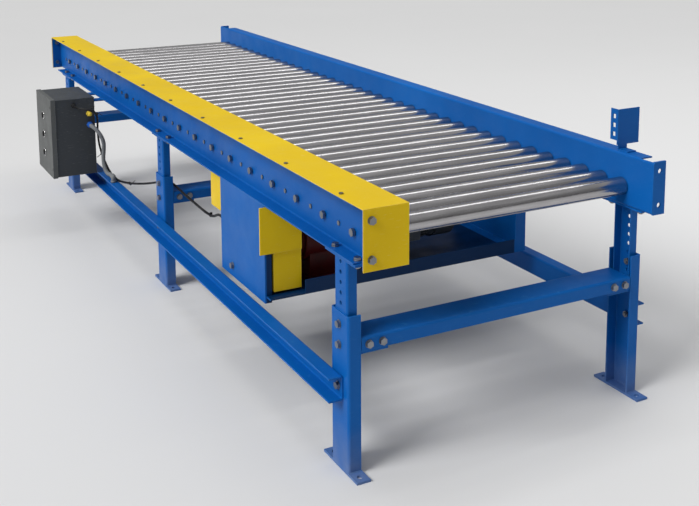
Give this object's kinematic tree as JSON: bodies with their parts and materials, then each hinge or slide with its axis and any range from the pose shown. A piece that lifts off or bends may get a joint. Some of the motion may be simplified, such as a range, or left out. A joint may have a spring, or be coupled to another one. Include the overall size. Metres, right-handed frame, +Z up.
{
  "type": "chain-driven live roller conveyor",
  "caption": "Straight powered roller bed on bolted adjustable legs, with a guarded roller-to-roller chain drive, an under-slung gearmotor and a push-button enclosure.",
  "frame": {"origin": "on the floor, under the middle of the whole outline in plan", "axes": "+X along the bed towards the end nearer the drive, +Z up, -Y towards the drive side with the chain guard and the push buttons"},
  "size_m": [3.068, 1.14, 0.774],
  "materials": {
    "roller_steel": "bright zinc-plated steel tube",
    "zinc_steel": "zinc-plated bar and fasteners",
    "chain_steel": "oiled dark steel",
    "blue_paint": "semi-gloss blue powder coat",
    "yellow_paint": "semi-gloss safety yellow powder coat",
    "grey_paint": "satin dark grey powder coat",
    "red_paint": "dark red enamel on cast iron",
    "dark_paint": "dark grey enamel",
    "black_plastic": "moulded nylon",
    "grey_plastic": "corrugated flexible conduit",
    "black_rubber": "cable sheath"
  },
  "bodies": {
    "frame": {"roller_axles": "zinc_steel", "roller_chains": "chain_steel", "side_channels": "blue_paint", "bed_cross_members": "blue_paint", "legs": "blue_paint", "stand_braces": "blue_paint", "frame_bolts": "zinc_steel", "chain_guard": "yellow_paint", "drive_frame": "blue_paint", "gear_reducer": "red_paint", "motor": "dark_paint", "drive_chain_guard": "yellow_paint", "control_enclosure": "grey_paint", "accessory_brackets": "blue_paint", "power_cable": "black_rubber", "control_conduit": "grey_plastic", "cable_glands": "black_plastic"},
    "roller_01": {"roller_01": "roller_steel"},
    "roller_02": {"roller_02": "roller_steel"},
    "roller_03": {"roller_03": "roller_steel"},
    "roller_04": {"roller_04": "roller_steel"},
    "roller_05": {"roller_05": "roller_steel"},
    "roller_06": {"roller_06": "roller_steel"},
    "roller_07": {"roller_07": "roller_steel"},
    "roller_08": {"roller_08": "roller_steel"},
    "roller_09": {"roller_09": "roller_steel"},
    "roller_10": {"roller_10": "roller_steel"},
    "roller_11": {"roller_11": "roller_steel"},
    "roller_12": {"roller_12": "roller_steel"},
    "roller_13": {"roller_13": "roller_steel"},
    "roller_14": {"roller_14": "roller_steel"},
    "roller_15": {"roller_15": "roller_steel"},
    "roller_16": {"roller_16": "roller_steel"},
    "roller_17": {"roller_17": "roller_steel"},
    "roller_18": {"roller_18": "roller_steel"},
    "roller_19": {"roller_19": "roller_steel"},
    "roller_20": {"roller_20": "roller_steel"},
    "roller_21": {"roller_21": "roller_steel"},
    "roller_22": {"roller_22": "roller_steel"},
    "roller_23": {"roller_23": "roller_steel"},
    "roller_24": {"roller_24": "roller_steel"},
    "roller_25": {"roller_25": "roller_steel"},
    "roller_26": {"roller_26": "roller_steel"},
    "roller_27": {"roller_27": "roller_steel"},
    "roller_28": {"roller_28": "roller_steel"},
    "roller_29": {"roller_29": "roller_steel"},
    "roller_30": {"roller_30": "roller_steel"},
    "roller_31": {"roller_31": "roller_steel"},
    "roller_32": {"roller_32": "roller_steel"},
    "roller_33": {"roller_33": "roller_steel"},
    "roller_34": {"roller_34": "roller_steel"},
    "roller_35": {"roller_35": "roller_steel"},
    "roller_36": {"roller_36": "roller_steel"},
    "roller_37": {"roller_37": "roller_steel"},
    "roller_38": {"roller_38": "roller_steel"},
    "reducer_sprocket": {"reducer_sprocket": "chain_steel"},
    "enclosure_door": {"enclosure_door": "grey_paint"},
    "start_button": {"start_button": "black_plastic"},
    "stop_button": {"stop_button": "black_plastic"},
    "reset_button": {"reset_button": "black_plastic"}
  },
  "joints": [
    {"name": "roller_01_spin", "type": "hinge", "parent": "frame", "child": "roller_01", "pos_m": [1.4097, 0.092, 0.57585], "axis": [0, 1, 0], "continuous": true},
    {"name": "roller_02_spin", "type": "hinge", "parent": "frame", "child": "roller_02", "pos_m": [1.3335, 0.092, 0.57585], "axis": [0, 1, 0], "continuous": true},
    {"name": "roller_03_spin", "type": "hinge", "parent": "frame", "child": "roller_03", "pos_m": [1.2573, 0.092, 0.57585], "axis": [0, 1, 0], "continuous": true},
    {"name": "roller_04_spin", "type": "hinge", "parent": "frame", "child": "roller_04", "pos_m": [1.1811, 0.092, 0.57585], "axis": [0, 1, 0], "continuous": true},
    {"name": "roller_05_spin", "type": "hinge", "parent": "frame", "child": "roller_05", "pos_m": [1.1049, 0.092, 0.57585], "axis": [0, 1, 0], "continuous": true},
    {"name": "roller_06_spin", "type": "hinge", "parent": "frame", "child": "roller_06", "pos_m": [1.0287, 0.092, 0.57585], "axis": [0, 1, 0], "continuous": true},
    {"name": "roller_07_spin", "type": "hinge", "parent": "frame", "child": "roller_07", "pos_m": [0.9525, 0.092, 0.57585], "axis": [0, 1, 0], "continuous": true},
    {"name": "roller_08_spin", "type": "hinge", "parent": "frame", "child": "roller_08", "pos_m": [0.8763, 0.092, 0.57585], "axis": [0, 1, 0], "continuous": true},
    {"name": "roller_09_spin", "type": "hinge", "parent": "frame", "child": "roller_09", "pos_m": [0.8001, 0.092, 0.57585], "axis": [0, 1, 0], "continuous": true},
    {"name": "roller_10_spin", "type": "hinge", "parent": "frame", "child": "roller_10", "pos_m": [0.7239, 0.092, 0.57585], "axis": [0, 1, 0], "continuous": true},
    {"name": "roller_11_spin", "type": "hinge", "parent": "frame", "child": "roller_11", "pos_m": [0.6477, 0.092, 0.57585], "axis": [0, 1, 0], "continuous": true},
    {"name": "roller_12_spin", "type": "hinge", "parent": "frame", "child": "roller_12", "pos_m": [0.5715, 0.092, 0.57585], "axis": [0, 1, 0], "continuous": true},
    {"name": "roller_13_spin", "type": "hinge", "parent": "frame", "child": "roller_13", "pos_m": [0.4953, 0.092, 0.57585], "axis": [0, 1, 0], "continuous": true},
    {"name": "roller_14_spin", "type": "hinge", "parent": "frame", "child": "roller_14", "pos_m": [0.4191, 0.092, 0.57585], "axis": [0, 1, 0], "continuous": true},
    {"name": "roller_15_spin", "type": "hinge", "parent": "frame", "child": "roller_15", "pos_m": [0.3429, 0.092, 0.57585], "axis": [0, 1, 0], "continuous": true},
    {"name": "roller_16_spin", "type": "hinge", "parent": "frame", "child": "roller_16", "pos_m": [0.2667, 0.092, 0.57585], "axis": [0, 1, 0], "continuous": true},
    {"name": "roller_17_spin", "type": "hinge", "parent": "frame", "child": "roller_17", "pos_m": [0.1905, 0.092, 0.57585], "axis": [0, 1, 0], "continuous": true},
    {"name": "roller_18_spin", "type": "hinge", "parent": "frame", "child": "roller_18", "pos_m": [0.1143, 0.092, 0.57585], "axis": [0, 1, 0], "continuous": true},
    {"name": "roller_19_spin", "type": "hinge", "parent": "frame", "child": "roller_19", "pos_m": [0.0381, 0.092, 0.57585], "axis": [0, 1, 0], "continuous": true},
    {"name": "roller_20_spin", "type": "hinge", "parent": "frame", "child": "roller_20", "pos_m": [-0.0381, 0.092, 0.57585], "axis": [0, 1, 0], "continuous": true},
    {"name": "roller_21_spin", "type": "hinge", "parent": "frame", "child": "roller_21", "pos_m": [-0.1143, 0.092, 0.57585], "axis": [0, 1, 0], "continuous": true},
    {"name": "roller_22_spin", "type": "hinge", "parent": "frame", "child": "roller_22", "pos_m": [-0.1905, 0.092, 0.57585], "axis": [0, 1, 0], "continuous": true},
    {"name": "roller_23_spin", "type": "hinge", "parent": "frame", "child": "roller_23", "pos_m": [-0.2667, 0.092, 0.57585], "axis": [0, 1, 0], "continuous": true},
    {"name": "roller_24_spin", "type": "hinge", "parent": "frame", "child": "roller_24", "pos_m": [-0.3429, 0.092, 0.57585], "axis": [0, 1, 0], "continuous": true},
    {"name": "roller_25_spin", "type": "hinge", "parent": "frame", "child": "roller_25", "pos_m": [-0.4191, 0.092, 0.57585], "axis": [0, 1, 0], "continuous": true},
    {"name": "roller_26_spin", "type": "hinge", "parent": "frame", "child": "roller_26", "pos_m": [-0.4953, 0.092, 0.57585], "axis": [0, 1, 0], "continuous": true},
    {"name": "roller_27_spin", "type": "hinge", "parent": "frame", "child": "roller_27", "pos_m": [-0.5715, 0.092, 0.57585], "axis": [0, 1, 0], "continuous": true},
    {"name": "roller_28_spin", "type": "hinge", "parent": "frame", "child": "roller_28", "pos_m": [-0.6477, 0.092, 0.57585], "axis": [0, 1, 0], "continuous": true},
    {"name": "roller_29_spin", "type": "hinge", "parent": "frame", "child": "roller_29", "pos_m": [-0.7239, 0.092, 0.57585], "axis": [0, 1, 0], "continuous": true},
    {"name": "roller_30_spin", "type": "hinge", "parent": "frame", "child": "roller_30", "pos_m": [-0.8001, 0.092, 0.57585], "axis": [0, 1, 0], "continuous": true},
    {"name": "roller_31_spin", "type": "hinge", "parent": "frame", "child": "roller_31", "pos_m": [-0.8763, 0.092, 0.57585], "axis": [0, 1, 0], "continuous": true},
    {"name": "roller_32_spin", "type": "hinge", "parent": "frame", "child": "roller_32", "pos_m": [-0.9525, 0.092, 0.57585], "axis": [0, 1, 0], "continuous": true},
    {"name": "roller_33_spin", "type": "hinge", "parent": "frame", "child": "roller_33", "pos_m": [-1.0287, 0.092, 0.57585], "axis": [0, 1, 0], "continuous": true},
    {"name": "roller_34_spin", "type": "hinge", "parent": "frame", "child": "roller_34", "pos_m": [-1.1049, 0.092, 0.57585], "axis": [0, 1, 0], "continuous": true},
    {"name": "roller_35_spin", "type": "hinge", "parent": "frame", "child": "roller_35", "pos_m": [-1.1811, 0.092, 0.57585], "axis": [0, 1, 0], "continuous": true},
    {"name": "roller_36_spin", "type": "hinge", "parent": "frame", "child": "roller_36", "pos_m": [-1.2573, 0.092, 0.57585], "axis": [0, 1, 0], "continuous": true},
    {"name": "roller_37_spin", "type": "hinge", "parent": "frame", "child": "roller_37", "pos_m": [-1.3335, 0.092, 0.57585], "axis": [0, 1, 0], "continuous": true},
    {"name": "roller_38_spin", "type": "hinge", "parent": "frame", "child": "roller_38", "pos_m": [-1.4097, 0.092, 0.57585], "axis": [0, 1, 0], "continuous": true},
    {"name": "reducer_sprocket_spin", "type": "hinge", "parent": "frame", "child": "reducer_sprocket", "pos_m": [0.8763, 0.092, 0.39805], "axis": [0, 1, 0], "continuous": true},
    {"name": "enclosure_door_swing", "type": "hinge", "parent": "frame", "child": "enclosure_door", "pos_m": [-0.871, -0.549, 0.3925], "axis": [0, 0, 1], "range_deg": [-120, 0]},
    {"name": "start_button_press", "type": "slide", "parent": "enclosure_door", "child": "start_button", "axis": [0, 1, 0], "range_m": [0, 0.005], "stiffness_N_per_m": 400},
    {"name": "stop_button_press", "type": "slide", "parent": "enclosure_door", "child": "stop_button", "axis": [0, 1, 0], "range_m": [0, 0.005], "stiffness_N_per_m": 400},
    {"name": "reset_button_press", "type": "slide", "parent": "enclosure_door", "child": "reset_button", "axis": [0, 1, 0], "range_m": [0, 0.005], "stiffness_N_per_m": 400}
  ],
  "couplings": [
    {"joint": "roller_01_spin", "follows": "roller_08_spin", "ratio": 1},
    {"joint": "roller_02_spin", "follows": "roller_08_spin", "ratio": 1},
    {"joint": "roller_03_spin", "follows": "roller_08_spin", "ratio": 1},
    {"joint": "roller_04_spin", "follows": "roller_08_spin", "ratio": 1},
    {"joint": "roller_05_spin", "follows": "roller_08_spin", "ratio": 1},
    {"joint": "roller_06_spin", "follows": "roller_08_spin", "ratio": 1},
    {"joint": "roller_07_spin", "follows": "roller_08_spin", "ratio": 1},
    {"joint": "roller_09_spin", "follows": "roller_08_spin", "ratio": 1},
    {"joint": "roller_10_spin", "follows": "roller_08_spin", "ratio": 1},
    {"joint": "roller_11_spin", "follows": "roller_08_spin", "ratio": 1},
    {"joint": "roller_12_spin", "follows": "roller_08_spin", "ratio": 1},
    {"joint": "roller_13_spin", "follows": "roller_08_spin", "ratio": 1},
    {"joint": "roller_14_spin", "follows": "roller_08_spin", "ratio": 1},
    {"joint": "roller_15_spin", "follows": "roller_08_spin", "ratio": 1},
    {"joint": "roller_16_spin", "follows": "roller_08_spin", "ratio": 1},
    {"joint": "roller_17_spin", "follows": "roller_08_spin", "ratio": 1},
    {"joint": "roller_18_spin", "follows": "roller_08_spin", "ratio": 1},
    {"joint": "roller_19_spin", "follows": "roller_08_spin", "ratio": 1},
    {"joint": "roller_20_spin", "follows": "roller_08_spin", "ratio": 1},
    {"joint": "roller_21_spin", "follows": "roller_08_spin", "ratio": 1},
    {"joint": "roller_22_spin", "follows": "roller_08_spin", "ratio": 1},
    {"joint": "roller_23_spin", "follows": "roller_08_spin", "ratio": 1},
    {"joint": "roller_24_spin", "follows": "roller_08_spin", "ratio": 1},
    {"joint": "roller_25_spin", "follows": "roller_08_spin", "ratio": 1},
    {"joint": "roller_26_spin", "follows": "roller_08_spin", "ratio": 1},
    {"joint": "roller_27_spin", "follows": "roller_08_spin", "ratio": 1},
    {"joint": "roller_28_spin", "follows": "roller_08_spin", "ratio": 1},
    {"joint": "roller_29_spin", "follows": "roller_08_spin", "ratio": 1},
    {"joint": "roller_30_spin", "follows": "roller_08_spin", "ratio": 1},
    {"joint": "roller_31_spin", "follows": "roller_08_spin", "ratio": 1},
    {"joint": "roller_32_spin", "follows": "roller_08_spin", "ratio": 1},
    {"joint": "roller_33_spin", "follows": "roller_08_spin", "ratio": 1},
    {"joint": "roller_34_spin", "follows": "roller_08_spin", "ratio": 1},
    {"joint": "roller_35_spin", "follows": "roller_08_spin", "ratio": 1},
    {"joint": "roller_36_spin", "follows": "roller_08_spin", "ratio": 1},
    {"joint": "roller_37_spin", "follows": "roller_08_spin", "ratio": 1},
    {"joint": "roller_38_spin", "follows": "roller_08_spin", "ratio": 1},
    {"joint": "reducer_sprocket_spin", "follows": "roller_08_spin", "ratio": 1}
  ]
}
